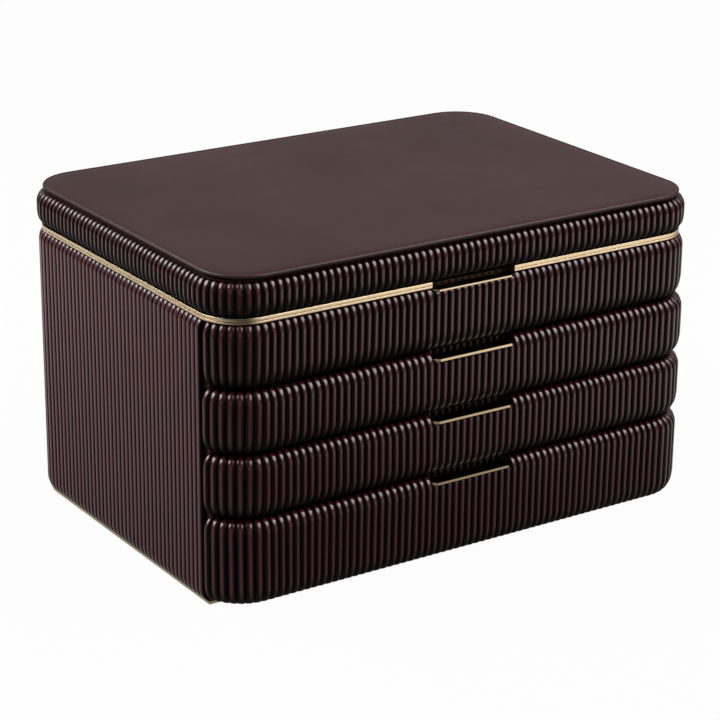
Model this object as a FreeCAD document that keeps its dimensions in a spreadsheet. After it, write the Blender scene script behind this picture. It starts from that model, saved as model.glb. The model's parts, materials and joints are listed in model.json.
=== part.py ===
import FreeCAD, Part
import math
import os
import Sketcher

# A jewellery box covered in pleated leather: a hinged lid over an open tray, and three drawers below it.
# Millimetres, +Z up. The origin is the middle of the underside, below the middle of the brass seam's
# outline. X is the width, the front faces -Y, and the lid's hinges are along the back.

V = FreeCAD.Vector
doc = FreeCAD.newDocument("jewellery_box")
sheet = doc.addObject("Spreadsheet::Sheet", "sizes")

DIMENSIONS = {
    # the brass seam between body and lid sets the outline that every other outline is offset from
    "seam_width": 330.0,
    "seam_depth": 233.0,
    "seam_corner": 26.0,
    # heights, from the table up
    "felt_thick": 1.0,
    "base_frame_thick": 1.6,
    "base_board_thick": 6.0,
    "body_tall": 168.0,
    "low_tier": 54.0,
    "body_rim_thick": 1.2,
    "seam_gap": 0.2,
    "lid_rim_thick": 2.0,
    "lid_frame_tall": 15.6,
    "lid_board_thick": 4.8,
    "lid_panel_thick": 3.9,
    # the wooden case
    "core_inset": 2.5,
    "panel_thick": 7.5,
    "front_depth": 19.5,
    "front_gap": 0.4,
    "shelf_thick": 3.0,
    "tray_floor_thick": 4.0,
    "base_inset": 0.2,
    "base_rail_width": 20.0,
    "base_front_reach": 1.5,
    "felt_inset": 6.0,
    # pleated leather covers
    "cover_bulge": 2.2,
    "tray_bulge": 2.9,
    "drawer_bulge": 4.3,
    "cover_round": 4.2,
    "front_round": 5.5,
    "cover_end_round": 1.8,
    "cover_wrap": 1.6,
    "cover_fit": 0.1,
    "cover_gap": 0.2,
    "side_seam": 1.8,
    "cover_back_gap": 0.6,
    "tier_gap": 1.5,
    "base_gap": 0.6,
    # lid
    "lid_core_inset": 3.0,
    "lid_wall": 9.0,
    "lid_bulge": 3.0,
    "lid_round": 5.5,
    "lid_panel_inset": 1.0,
    "lid_panel_overhang": 0.75,
    "lid_panel_corner": 28.0,
    "lid_panel_round": 2.2,
    "lining_thick": 1.2,
    "mirror_inset_x": 35.0,
    "mirror_inset_y": 31.5,
    "mirror_corner": 12.0,
    "mirror_thick": 3.0,
    "mirror_frame_width": 10.0,
    "mirror_lip": 2.0,
    "mirror_cover": 1.0,
    # hinges
    "hinge_inset": 70.0,
    "hinge_length": 44.0,
    "hinge_mid_length": 16.0,
    "hinge_set_back": 3.8,
    "knuckle_radius": 2.2,
    "knuckle_gap": 0.2,
    "hinge_pin_radius": 1.1,
    "pin_clearance": 0.05,
    "leaf_width": 8.5,
    "leaf_gap": 0.1,
    "screw_radius": 1.0,
    "screw_head_radius": 1.9,
    "screw_head_thick": 0.7,
    "screw_length": 8.0,
    "screw_pitch": 16.0,
    "screw_fit": 0.05,
    # brass finger pulls
    "pull_width": 57.6,
    "pull_thick": 1.4,
    "pull_drop": 3.8,
    "pull_depth": 7.5,
    "pull_proud": 0.3,
    "pull_chamfer": 3.7,
    "pull_fit": 0.1,
    "ledge_thick": 1.0,
    "ledge_drop": 1.1,
    "ledge_set_back": 0.7,
    # drawer boxes
    "drawer_side_gap": 1.0,
    "drawer_lift": 0.3,
    "drawer_wall": 6.0,
    "drawer_floor": 3.0,
    "drawer_back_room": 19.5,
    "drawer_headroom": 3.3,
    "drawer_back_gap": 0.8,
    "glide_thick": 0.5,
    "glide_width": 10.0,
    "glide_inset": 24.0,
    "glide_end": 6.0,
    "stop_place": 60.0,
    "stop_width": 12.0,
    "stop_depth": 4.0,
    "stop_tall": 2.2,
    "stop_set_back": 23.0,
    # suede inserts
    "pad_thick": 1.5,
    "insert_gap": 0.3,
    # a square pad clears a rounded corner by this share of the corner's radius
    "corner_share": 0.3,
    "divider_thick": 3.0,
    "divider_drop": 6.0,
    "tray_divider_x": 16.0,
    "tray_divider_tall": 25.0,
    "roll_radius": 9.0,
    "roll_gap": 0.6,
    "roll_end_gap": 1.0,
    # how far a cut reaches past the piece that it cuts
    "overshoot": 1.0,
}
for row, (name, number) in enumerate(DIMENSIONS.items(), start=1):
    sheet.set(f"A{row}", name)
    sheet.set(f"B{row}", str(number))
    sheet.setAlias(f"B{row}", name)
doc.recompute()


class Size:
    """A length with its text on the sheet, so that features bound to a sum of sizes follow its cells."""

    def __init__(self, text, number):
        self.text = text
        self.number = number

    def __str__(self):
        return self.text

    def __float__(self):
        return self.number

    def __add__(self, other):
        return Size(f"({self} + {other})", self.number + float(other))

    def __sub__(self, other):
        return Size(f"({self} - {other})", self.number - float(other))

    def __mul__(self, other):
        return Size(f"({self} * {other})", self.number * float(other))

    def __truediv__(self, other):
        return Size(f"({self} / {other})", self.number / float(other))

    def __neg__(self):
        return Size(f"(0 - {self})", -self.number)


def cell(alias):
    return Size(f"sizes.{alias}", DIMENSIONS[alias])


# ---------------------------------------------------------------- levels and faces that pieces share

zero = Size("0", 0.0)
beyond = cell("overshoot")
half_width = cell("seam_width") / 2
half_depth = cell("seam_depth") / 2

base_z = cell("felt_thick")
board_z = base_z + cell("base_frame_thick")
floor_z = board_z + cell("base_board_thick")
seam_z = base_z + cell("body_tall")
upper_tier = (cell("body_tall") - cell("low_tier")) / 3
tier_3_top = base_z + cell("low_tier")
tier_2_top = tier_3_top + upper_tier
tier_1_top = tier_2_top + upper_tier
rim_top = seam_z + cell("body_rim_thick")
lid_z = rim_top + cell("seam_gap")
lid_frame_z = lid_z + cell("lid_rim_thick")
lid_board_z = lid_frame_z + cell("lid_frame_tall")
lid_panel_z = lid_board_z + cell("lid_board_thick")

core_x = half_width - cell("core_inset")
core_y = half_depth - cell("core_inset")
inner_x = core_x - cell("panel_thick")
inner_back = core_y - cell("panel_thick")
fronts_back = cell("front_depth") - half_depth
core_corner = cell("seam_corner") - cell("core_inset")
inner_corner = core_corner - cell("panel_thick")

lined_x = inner_x - cell("lining_thick")
lined_front = fronts_back + cell("lining_thick")
lined_back = inner_back - cell("lining_thick")
lined_corner = inner_corner - cell("lining_thick")

notch_x = cell("pull_width") / 2 + cell("pull_fit")
notch_back = cell("pull_depth") - half_depth + cell("pull_fit")
hinge_y = half_depth + cell("hinge_set_back")
hinge_z = rim_top + cell("seam_gap") / 2
leaf_front = half_depth - cell("leaf_width")
screw_y = (leaf_front + core_y) / 2

nodes = []


def keep(piece, label):
    """A finished sub-part: its label names its node and its file."""
    piece.Label = label
    nodes.append(piece)
    return piece


# ---------------------------------------------------------------- sketches and features

def place(sketch, direction, line, point, size):
    """Fix one coordinate of a point, measured from the origin whichever side of it the point is on."""
    number = float(size)
    ends = (line, point, -1, 1) if number < 0 else (-1, 1, line, point)
    index = sketch.addConstraint(Sketcher.Constraint(direction, *ends, abs(number)))
    sketch.setExpression(f"Constraints[{index}]", str(-size if number < 0 else size))


def corner_arc(sketch, x, y, radius, quarter):
    """A quarter of a circle: quarter counts the right angles from the X axis to where it starts."""
    circle = Part.Circle(V(x, y, 0), V(0, 0, 1), radius)
    start = quarter * math.pi / 2
    return sketch.addGeometry(Part.ArcOfCircle(circle, start, start + math.pi / 2))


def draw_outline(sketch, left, right, front, back, front_radius=None, back_radius=None):
    """Four straight sides, joined by sharp corners or by arcs of the radius given for each end."""
    x0, x1, y0, y1 = (float(size) for size in (left, right, front, back))
    sizes = (front_radius, front_radius, back_radius, back_radius)
    cut = [float(size) if size else 0.0 for size in sizes]
    runs = (
        ((x0 + cut[0], y0), (x1 - cut[1], y0)),
        ((x1, y0 + cut[1]), (x1, y1 - cut[2])),
        ((x1 - cut[2], y1), (x0 + cut[3], y1)),
        ((x0, y1 - cut[3]), (x0, y0 + cut[0])),
    )
    lines = [sketch.addGeometry(Part.LineSegment(V(*start, 0), V(*end, 0))) for start, end in runs]
    centres = (
        (x0 + cut[0], y0 + cut[0]),
        (x1 - cut[1], y0 + cut[1]),
        (x1 - cut[2], y1 - cut[2]),
        (x0 + cut[3], y1 - cut[3]),
    )
    for line, kind in zip(lines, ("Horizontal", "Vertical") * 2):
        sketch.addConstraint(Sketcher.Constraint(kind, line))
    for corner, radius in enumerate(sizes):
        before, after = lines[corner - 1], lines[corner]
        if radius is None:
            sketch.addConstraint(Sketcher.Constraint("Coincident", before, 2, after, 1))
            continue
        arc = corner_arc(sketch, *centres[corner], cut[corner], corner + 2)
        sketch.addConstraint(Sketcher.Constraint("Tangent", before, 2, arc, 1))
        sketch.addConstraint(Sketcher.Constraint("Tangent", arc, 2, after, 1))
        index = sketch.addConstraint(Sketcher.Constraint("Radius", arc, cut[corner]))
        sketch.setExpression(f"Constraints[{index}]", str(radius))
    place(sketch, "DistanceY", lines[0], 1, front)
    place(sketch, "DistanceX", lines[1], 1, right)
    place(sketch, "DistanceY", lines[2], 1, back)
    place(sketch, "DistanceX", lines[3], 1, left)


def draw_front(sketch, inset, back):
    """The case's rounded outline, offset inwards by inset, in front of a straight line at back."""
    corner = cell("seam_corner")
    radius, centre_x = float(corner - inset), float(half_width - corner)
    centre_y, y_back = float(corner - half_depth), float(back)
    y_front = centre_y - radius
    reach = math.asin((centre_y - y_back) / radius)
    x_end = centre_x + radius * math.cos(reach)
    front = sketch.addGeometry(Part.LineSegment(V(-centre_x, y_front, 0), V(centre_x, y_front, 0)))
    rear = sketch.addGeometry(Part.LineSegment(V(x_end, y_back, 0), V(-x_end, y_back, 0)))
    arcs = []
    for side, start, end in ((1, -math.pi / 2, -reach), (-1, math.pi + reach, math.pi * 1.5)):
        circle = Part.Circle(V(side * centre_x, centre_y, 0), V(0, 0, 1), radius)
        arc = sketch.addGeometry(Part.ArcOfCircle(circle, start, end))
        index = sketch.addConstraint(Sketcher.Constraint("Radius", arc, radius))
        sketch.setExpression(f"Constraints[{index}]", str(corner - inset))
        arcs.append(arc)
    sketch.addConstraint(Sketcher.Constraint("Horizontal", front))
    sketch.addConstraint(Sketcher.Constraint("Horizontal", rear))
    sketch.addConstraint(Sketcher.Constraint("Tangent", front, 2, arcs[0], 1))
    sketch.addConstraint(Sketcher.Constraint("Coincident", arcs[0], 2, rear, 1))
    sketch.addConstraint(Sketcher.Constraint("Coincident", rear, 2, arcs[1], 1))
    sketch.addConstraint(Sketcher.Constraint("Tangent", arcs[1], 2, front, 1))
    place(sketch, "DistanceX", front, 2, half_width - corner)
    place(sketch, "DistanceX", front, 1, corner - half_width)
    place(sketch, "DistanceY", front, 1, inset - half_depth)
    place(sketch, "DistanceY", rear, 1, back)


def new_body(name):
    return doc.addObject("PartDesign::Body", name)


def new_sketch(body, level):
    sketch = body.newObject("Sketcher::SketchObject", f"{body.Name}_plan")
    plane = next(item for item in body.Origin.OriginFeatures if item.Role == "XY_Plane")
    sketch.AttachmentSupport = (plane, [""])
    sketch.MapMode = "FlatFace"
    sketch.setExpression("AttachmentOffset.Base.z", str(level))
    return sketch


def pad(body, sketch, length):
    feature = body.newObject("PartDesign::Pad", f"{body.Name}_pad")
    feature.Profile = sketch
    feature.setExpression("Length", str(length))
    doc.recompute()
    return feature


def cut_up(body, sketch, length):
    """Pocket from the sketch's level upwards. It has to take material away."""
    before = body.Shape.Volume
    feature = body.newObject("PartDesign::Pocket", f"{body.Name}_cut")
    feature.Profile = sketch
    feature.Reversed = True
    feature.setExpression("Length", str(length))
    doc.recompute()
    if body.Shape.Volume > before - 0.01:
        raise RuntimeError(f"{body.Name}: a cut took nothing away")
    return feature


def cut_box(body, left, right, front, back, low, high):
    sketch = new_sketch(body, low)
    draw_outline(sketch, left, right, front, back)
    return cut_up(body, sketch, high - low)


def round_edges(body, radius, test):
    """Fillet every edge of the body that the test picks by its middle and its box."""
    base = body.Tip
    names = [f"Edge{i}" for i, edge in enumerate(base.Shape.Edges, start=1) if test(edge)]
    feature = body.newObject("PartDesign::Fillet", f"{body.Name}_round")
    feature.Base = (base, names)
    feature.setExpression("Radius", str(radius))
    doc.recompute()
    return feature


def flat_at(edge, level):
    box = edge.BoundBox
    return abs(box.ZMin - level) < 0.01 and abs(box.ZMax - level) < 0.01


def plate(name, low, thick, **outline):
    """A flat piece with the outline that draw_outline takes."""
    body = new_body(name)
    sketch = new_sketch(body, low)
    draw_outline(sketch, **outline)
    pad(body, sketch, thick)
    return keep(body, name)


def rounded(inset):
    """The case's whole outline, offset inwards by inset, as draw_outline's arguments."""
    x, y = half_width - inset, half_depth - inset
    radius = cell("seam_corner") - inset
    return dict(left=-x, right=x, front=-y, back=y, front_radius=radius, back_radius=radius)


def ring(name, low, thick, outer, inner):
    """A flat ring between two outlines, drawn in one sketch."""
    body = new_body(name)
    sketch = new_sketch(body, low)
    draw_outline(sketch, **outer)
    draw_outline(sketch, **inner)
    pad(body, sketch, thick)
    return keep(body, name)


def block(name, x, y, z):
    """A straight board between two values on each axis."""
    box = doc.addObject("Part::Box", name)
    for side, axis, (low, high) in zip(("Length", "Width", "Height"), "xyz", (x, y, z)):
        box.setExpression(side, str(high - low))
        box.setExpression(f"Placement.Base.{axis}", str(low))
    return box


def rod(name, radius, x, y, z):
    """A round bar along X, between the two values of x."""
    bar = doc.addObject("Part::Cylinder", name)
    bar.Placement = FreeCAD.Placement(V(), FreeCAD.Rotation(V(0, 1, 0), 90))
    bar.setExpression("Radius", str(radius))
    bar.setExpression("Height", str(x[1] - x[0]))
    for axis, size in zip("xyz", (x[0], y, z)):
        bar.setExpression(f"Placement.Base.{axis}", str(size))
    return bar


def post(name, radius, x, y, z):
    """A round bar along Z, between the two values of z."""
    bar = doc.addObject("Part::Cylinder", name)
    bar.setExpression("Radius", str(radius))
    bar.setExpression("Height", str(z[1] - z[0]))
    for axis, size in zip("xyz", (x, y, z[0])):
        bar.setExpression(f"Placement.Base.{axis}", str(size))
    return bar


def fuse(name, pieces):
    joined = doc.addObject("Part::MultiFuse", name)
    joined.Shapes = pieces
    return joined


def cut(name, base, tools):
    result = doc.addObject("Part::Cut", name)
    result.Base = base
    result.Tool = tools[0] if len(tools) == 1 else fuse(f"{name}_tools", tools)
    return result


def group(name, pieces):
    """Separate solids that share one node."""
    compound = doc.addObject("Part::Compound", name)
    compound.Links = pieces
    return keep(compound, name)


# ---------------------------------------------------------------- base

felt_x = half_width - cell("felt_inset")
base_front = fronts_back - cell("base_front_reach")
plate(
    "base_felt", zero, cell("felt_thick"),
    left=-felt_x, right=felt_x,
    front=base_front + cell("felt_inset"), back=half_depth - cell("felt_inset"),
    back_radius=cell("seam_corner") - cell("felt_inset"),
)

frame_x = half_width - cell("base_inset")
hole_x = frame_x - cell("base_rail_width")
hole_front = base_front + cell("base_rail_width")
hole_back = half_depth - cell("base_inset") - cell("base_rail_width")
ring(
    "base_frame", base_z, cell("base_frame_thick"),
    dict(
        left=-frame_x, right=frame_x, front=base_front, back=half_depth - cell("base_inset"),
        back_radius=cell("seam_corner") - cell("base_inset"),
    ),
    dict(left=-hole_x, right=hole_x, front=hole_front, back=hole_back),
)

# The bottom board has a shallow step below it that fills the brass frame.
base_board = plate(
    "base_board", board_z, cell("base_board_thick"),
    left=-core_x, right=core_x, front=fronts_back, back=core_y, back_radius=core_corner,
)
step = new_sketch(base_board, base_z)
fit = cell("cover_fit")
draw_outline(step, fit - hole_x, hole_x - fit, hole_front + fit, hole_back - fit)
pad(base_board, step, cell("base_frame_thick"))

# ---------------------------------------------------------------- wooden case

post_x = half_width - cell("seam_corner")
post_y = half_depth - cell("seam_corner")
for side, edges in (("left", (-core_x, -inner_x)), ("right", (inner_x, core_x))):
    keep(block(f"side_panel_{side}", edges, (fronts_back, post_y), (floor_z, seam_z)),
         f"side_panel_{side}")

# Bent posts make the two rounded corners at the back.
corner_posts = []
for side, x, quarter_turns in (("left", -post_x, 1), ("right", post_x, 0)):
    quarters = []
    for skin, radius in (("outer", core_corner), ("inner", inner_corner)):
        quarter = post(f"rear_post_{side}_{skin}", radius, x, post_y, (floor_z, seam_z))
        quarter.Angle = 90
        turn = FreeCAD.Rotation(V(0, 0, 1), quarter_turns * quarter.Angle.Value)
        quarter.Placement = FreeCAD.Placement(quarter.Placement.Base, turn)
        quarters.append(quarter)
    corner_posts.append(cut(f"rear_post_{side}", quarters[0], quarters[1:]))
group("rear_posts", corner_posts)

hinge_x = half_width - cell("hinge_inset")
hinge_places = (("left", -hinge_x), ("right", hinge_x))


def screw_spots():
    """The places of every hinge screw along X."""
    pitch = cell("screw_pitch")
    return [place_x + step_x for side, place_x in hinge_places for step_x in (-pitch, zero, pitch)]


screw_hole = cell("screw_radius") + cell("screw_fit")
pilot_depth = cell("screw_length") + cell("screw_fit")
back_board = block("back_board", (-post_x, post_x), (inner_back, core_y), (floor_z, seam_z))
pilots = [
    post(f"back_pilot_{i}", screw_hole, x, screw_y, (rim_top - pilot_depth, seam_z))
    for i, x in enumerate(screw_spots())
]
keep(cut("back_panel", back_board, pilots), "back_panel")

for name, middle, thick in (
    ("shelf_lower", tier_3_top, cell("shelf_thick")),
    ("shelf_upper", tier_2_top, cell("shelf_thick")),
    ("tray_floor", tier_1_top, cell("tray_floor_thick")),
):
    plate(
        name, middle - thick / 2, thick,
        left=-inner_x, right=inner_x, front=fronts_back, back=inner_back, back_radius=inner_corner,
    )


# ---------------------------------------------------------------- fronts: core, leather cover and pull

def front_core(name, low, high, back, ledge):
    """The solid wooden front with its rounded corners, notched at the top for the finger pull."""
    body = new_body(name)
    sketch = new_sketch(body, low)
    draw_front(sketch, cell("core_inset"), back)
    pad(body, sketch, high - low)
    cut_box(body, -notch_x, notch_x, -half_depth - beyond, notch_back, ledge, high + beyond)
    return keep(body, name)


def front_cover(name, bulge, low, high, core_low, core_high, back, ledge):
    """The padded leather round the core: it stands proud of the seam and rolls in, top and bottom."""
    body = new_body(name)
    sketch = new_sketch(body, low)
    draw_front(sketch, -bulge, back)
    pad(body, sketch, high - low)
    y_back, bottom, top = float(back), float(low), float(high)

    def is_back_edge(edge):
        return edge.BoundBox.YMin > y_back - 0.01

    round_edges(body, cell("cover_end_round"),
                lambda edge: is_back_edge(edge) and edge.BoundBox.ZLength > 1)
    end_gone = float(cell("cover_end_round")) + 0.02

    def is_rolled(edge):
        behind = edge.BoundBox.YMin > y_back - end_gone
        return not behind and (flat_at(edge, bottom) or flat_at(edge, top))

    round_edges(body, cell("front_round"), is_rolled)
    hollow = new_sketch(body, core_low)
    draw_front(hollow, cell("core_inset") - cell("cover_fit"), back + beyond)
    cut_up(body, hollow, core_high - core_low)
    cut_box(body, -notch_x, notch_x, -half_depth - bulge - beyond, notch_back, ledge, high + beyond)
    return keep(body, name)


def finger_plate(name, low, thick, front):
    """A brass plate on a notch's ledge, with its two front corners cut back."""
    body = new_body(name)
    sketch = new_sketch(body, low)
    x, inset = cell("pull_width") / 2, cell("pull_chamfer")
    y_front, y_back = -half_depth - front, notch_back - cell("pull_fit")
    shoulder = y_front + inset
    corners = (
        (inset - x, y_front), (x - inset, y_front), (x, shoulder),
        (x, y_back), (-x, y_back), (-x, shoulder),
    )
    points = [V(float(across), float(along), 0) for across, along in corners]
    lines = [
        sketch.addGeometry(Part.LineSegment(start, end))
        for start, end in zip(points, points[1:] + points[:1])
    ]
    for before, after in zip(lines, lines[1:] + lines[:1]):
        sketch.addConstraint(Sketcher.Constraint("Coincident", before, 2, after, 1))
    for line, (across, along) in zip(lines, corners):
        place(sketch, "DistanceX", line, 1, across)
        place(sketch, "DistanceY", line, 1, along)
    pad(body, sketch, thick)
    return keep(body, name)


half_gap = cell("tier_gap") / 2
wrap = cell("cover_wrap")

# The top tier is fixed: its front closes the tray.
tray_cover_low = tier_1_top + half_gap
ledge_z = seam_z - cell("ledge_drop") - cell("ledge_thick")
front_core("tray_front", tray_cover_low + wrap, seam_z, fronts_back, ledge_z)
front_cover(
    "tray_cover", cell("tray_bulge"), tray_cover_low, seam_z - cell("cover_gap"),
    tray_cover_low + wrap, seam_z + beyond, fronts_back - cell("cover_gap"), ledge_z,
)
finger_plate("tray_ledge", ledge_z, cell("ledge_thick"), cell("tray_bulge") - cell("ledge_set_back"))

# One strip of pleated leather runs round the sides and the back.
bulge = cell("cover_bulge")
body_cover = plate(
    "body_cover", board_z + cell("cover_gap"), seam_z - board_z - cell("cover_gap") * 2,
    left=-half_width - bulge, right=half_width + bulge,
    front=fronts_back + cell("side_seam") / 2, back=half_depth + bulge,
    back_radius=cell("seam_corner") + bulge,
)
cover_levels = (float(board_z + cell("cover_gap")), float(seam_z - cell("cover_gap")))
cover_front = float(fronts_back + cell("side_seam") / 2)
round_edges(
    body_cover, cell("cover_round"),
    lambda edge: any(flat_at(edge, level) for level in cover_levels)
    and edge.BoundBox.YMax > cover_front + 0.01,
)
hollow = new_sketch(body_cover, board_z)
fit_x, fit_y = core_x + cell("cover_fit"), core_y + cell("cover_fit")
draw_outline(hollow, -fit_x, fit_x, fronts_back - beyond, fit_y, back_radius=core_corner + cell("cover_fit"))
cut_up(body_cover, hollow, seam_z - board_z)

# ---------------------------------------------------------------- brass rim of the body

body_rim = ring(
    "body_rim", seam_z, cell("body_rim_thick"), rounded(zero),
    dict(
        left=-lined_x, right=lined_x, front=lined_front, back=lined_back,
        front_radius=lined_corner, back_radius=lined_corner,
    ),
)


def cut_rim_notches(body, low, thick):
    """Room in a brass rim for a finger at the front and for the hinge leaves at the back."""
    outside = half_depth + beyond
    cut_box(body, -notch_x, notch_x, -outside, notch_back, low, low + thick)
    half_leaf = cell("hinge_length") / 2 + cell("leaf_gap")
    for side, x in hinge_places:
        cut_box(body, x - half_leaf, x + half_leaf, leaf_front - cell("leaf_gap"), outside, low, low + thick)


cut_rim_notches(body_rim, seam_z, cell("body_rim_thick"))

# ---------------------------------------------------------------- suede in the tray

tray_floor_top = tier_1_top + cell("tray_floor_thick") / 2
ring(
    "tray_lining", tray_floor_top, seam_z - tray_floor_top,
    dict(left=-inner_x, right=inner_x, front=fronts_back, back=inner_back, back_radius=inner_corner),
    dict(left=-lined_x, right=lined_x, front=lined_front, back=lined_back, back_radius=lined_corner),
)


def insert(name, x, y, floor, tall, cross_walls, long_walls):
    """A suede floor pad with upright dividers standing on it."""
    pad_top = floor + cell("pad_thick")
    thick = cell("divider_thick")
    pieces = [block(f"{name}_pad", x, y, (floor, pad_top))]
    for i, wall_x in enumerate(cross_walls):
        pieces.append(block(f"{name}_cross_{i}", (wall_x, wall_x + thick), y, (pad_top, floor + tall)))
    for i, (low_x, high_x, wall_y) in enumerate(long_walls):
        run = (wall_y - thick / 2, wall_y + thick / 2)
        pieces.append(block(f"{name}_long_{i}", (low_x, high_x), run, (pad_top, floor + tall)))
    return group(name, pieces)


insert_gap = cell("insert_gap")
corner_room = lined_corner * cell("corner_share")
pad_x = lined_x - insert_gap - corner_room
pad_y = (lined_front + insert_gap, lined_back - insert_gap - corner_room)
wall_x = cell("tray_divider_x")
wall_right = wall_x + cell("divider_thick")
tray_middle = (pad_y[0] + pad_y[1]) / 2
insert("tray_insert", (-pad_x, pad_x), pad_y, tray_floor_top, cell("tray_divider_tall"),
       [wall_x], [(wall_right, pad_x, tray_middle)])

# Soft rolls fill the left of the tray, and rings are held between them.
roll = cell("roll_radius")
roll_x = (cell("roll_end_gap") - pad_x, wall_x - cell("roll_end_gap"))
roll_z = tray_floor_top + cell("pad_thick") + cell("insert_gap") + roll
room = float(pad_y[1] - pad_y[0])
roll_pitch = roll * 2 + cell("roll_gap")
roll_count = int(room // float(roll_pitch))
roll_start = tray_middle - roll_pitch * (roll_count - 1) / 2
group("ring_rolls", [
    rod(f"ring_roll_{i}", roll, roll_x, roll_start + roll_pitch * i, roll_z)
    for i in range(roll_count)
])

# ---------------------------------------------------------------- drawers

half_shelf = cell("shelf_thick") / 2
drawers = (
    ("drawer_1", tier_2_top, tier_1_top, tier_2_top + half_shelf, tier_1_top - cell("tray_floor_thick") / 2),
    ("drawer_2", tier_3_top, tier_2_top, tier_3_top + half_shelf, tier_2_top - half_shelf),
    ("drawer_3", base_z, tier_3_top, floor_z, tier_3_top - half_shelf),
)
cross_wall_count = {"drawer_1": 3, "drawer_2": 2, "drawer_3": 1}
deep_drawer = "drawer_3"
box_x = inner_x - cell("drawer_side_gap")
box_inner_x = box_x - cell("drawer_wall")
drawer_front_back = fronts_back - cell("front_gap")
drawer_end = inner_back - cell("drawer_back_room") - cell("drawer_wall")
stops = []
glides = []

for name, tier_low, tier_high, floor, ceiling in drawers:
    low = board_z + cell("base_gap") if name == deep_drawer else tier_low + half_gap
    high = tier_high - half_gap
    ledge = tier_high - cell("pull_drop") - cell("pull_thick")
    front_core(f"{name}_front", low + wrap, high - wrap, drawer_front_back, ledge)
    front_cover(f"{name}_cover", cell("drawer_bulge"), low, high, low + wrap, high - wrap,
                drawer_front_back - cell("cover_back_gap"), ledge)
    finger_plate(f"{name}_pull", ledge, cell("pull_thick"), cell("drawer_bulge") + cell("pull_proud"))

    box_low = floor + cell("glide_thick") + cell("drawer_lift")
    run = (drawer_front_back, drawer_end + cell("drawer_wall"))
    side_z = (box_low, ceiling - cell("drawer_headroom"))
    keep(block(f"{name}_side_left", (-box_x, -box_inner_x), run, side_z), f"{name}_side_left")
    keep(block(f"{name}_side_right", (box_inner_x, box_x), run, side_z), f"{name}_side_right")
    inside = (-box_inner_x, box_inner_x)
    keep(block(f"{name}_back", inside, (drawer_end, drawer_end + cell("drawer_wall")),
               (box_low, ceiling - cell("drawer_back_gap"))), f"{name}_back")
    keep(block(f"{name}_bottom", inside, (drawer_front_back, drawer_end),
               (box_low, box_low + cell("drawer_floor"))), f"{name}_bottom")

    insert_x = box_inner_x - insert_gap
    insert_y = (drawer_front_back + insert_gap, drawer_end - insert_gap)
    insert_floor = box_low + cell("drawer_floor")
    width = insert_x * 2
    cross_count = cross_wall_count[name]
    cross = [width * (i + 1) / (cross_count + 1) - insert_x - cell("divider_thick") / 2
             for i in range(cross_count)]
    middle = (insert_y[0] + insert_y[1]) / 2
    edges = [-insert_x] + cross + [insert_x]
    spans = zip([edges[0]] + [x + cell("divider_thick") for x in cross], edges[1:])
    long_walls = [] if name == deep_drawer else [(start, end, middle) for start, end in spans]
    tall = side_z[1] - insert_floor - cell("divider_drop")
    insert(f"{name}_insert", (-insert_x, insert_x), insert_y, insert_floor, tall, cross, long_walls)

    stop_y = (fronts_back + cell("stop_set_back"), fronts_back + cell("stop_set_back") + cell("stop_depth"))
    glide_y = (fronts_back + cell("glide_end"), drawer_end)
    for side, sign in (("left", -1), ("right", 1)):
        x = cell("stop_place") * sign
        width_x = (x - cell("stop_width") / 2, x + cell("stop_width") / 2)
        stops.append(block(f"{name}_stop_{side}", width_x, stop_y, (ceiling - cell("stop_tall"), ceiling)))
        x = (box_x - cell("glide_inset")) * sign
        width_x = (x - cell("glide_width") / 2, x + cell("glide_width") / 2)
        glides.append(block(f"{name}_glide_{side}", width_x, glide_y, (floor, floor + cell("glide_thick"))))

group("drawer_stops", stops)
group("glide_strips", glides)

# ---------------------------------------------------------------- lid

lid_inner = cell("lid_core_inset") + cell("lid_wall")
lid_rim = ring("lid_rim", lid_z, cell("lid_rim_thick"), rounded(zero), rounded(lid_inner))
cut_rim_notches(lid_rim, lid_z, cell("lid_rim_thick"))

lid_frame = ring("lid_frame", lid_frame_z, cell("lid_frame_tall"),
                 rounded(cell("lid_core_inset")), rounded(lid_inner))
for x in screw_spots():
    spot = new_sketch(lid_frame, lid_frame_z)
    circle = spot.addGeometry(Part.Circle(V(float(x), float(screw_y), 0), V(0, 0, 1), float(screw_hole)))
    index = spot.addConstraint(Sketcher.Constraint("Radius", circle, float(screw_hole)))
    spot.setExpression(f"Constraints[{index}]", str(screw_hole))
    place(spot, "DistanceX", circle, 3, x)
    place(spot, "DistanceY", circle, 3, screw_y)
    cut_up(lid_frame, spot, pilot_depth - cell("lid_rim_thick"))

plate("lid_board", lid_board_z, cell("lid_board_thick"), **rounded(cell("lid_core_inset")))

# The flat leather panel on top overhangs the board and shades the pleats below it.
panel_x = half_width - cell("lid_panel_inset")
panel_y = half_depth + cell("lid_panel_overhang")
lid_panel = plate(
    "lid_panel", lid_panel_z, cell("lid_panel_thick"), left=-panel_x, right=panel_x,
    front=-panel_y, back=panel_y,
    front_radius=cell("lid_panel_corner"), back_radius=cell("lid_panel_corner"),
)
lid_top = float(lid_panel_z + cell("lid_panel_thick"))
round_edges(lid_panel, cell("lid_panel_round"), lambda edge: flat_at(edge, lid_top))

# A padded band of pleated leather runs round the lid's four sides.
band_low = lid_frame_z + cell("cover_gap")
band_high = lid_panel_z - cell("cover_gap")
lid_band = plate("lid_band", band_low, band_high - band_low, **rounded(-cell("lid_bulge")))
band_levels = (float(band_low), float(band_high))
round_edges(lid_band, cell("lid_round"),
            lambda edge: any(flat_at(edge, level) for level in band_levels))
hollow = new_sketch(lid_band, lid_frame_z)
draw_outline(hollow, **rounded(cell("lid_core_inset") - cell("cover_fit")))
cut_up(lid_band, hollow, lid_panel_z - lid_frame_z)

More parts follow.
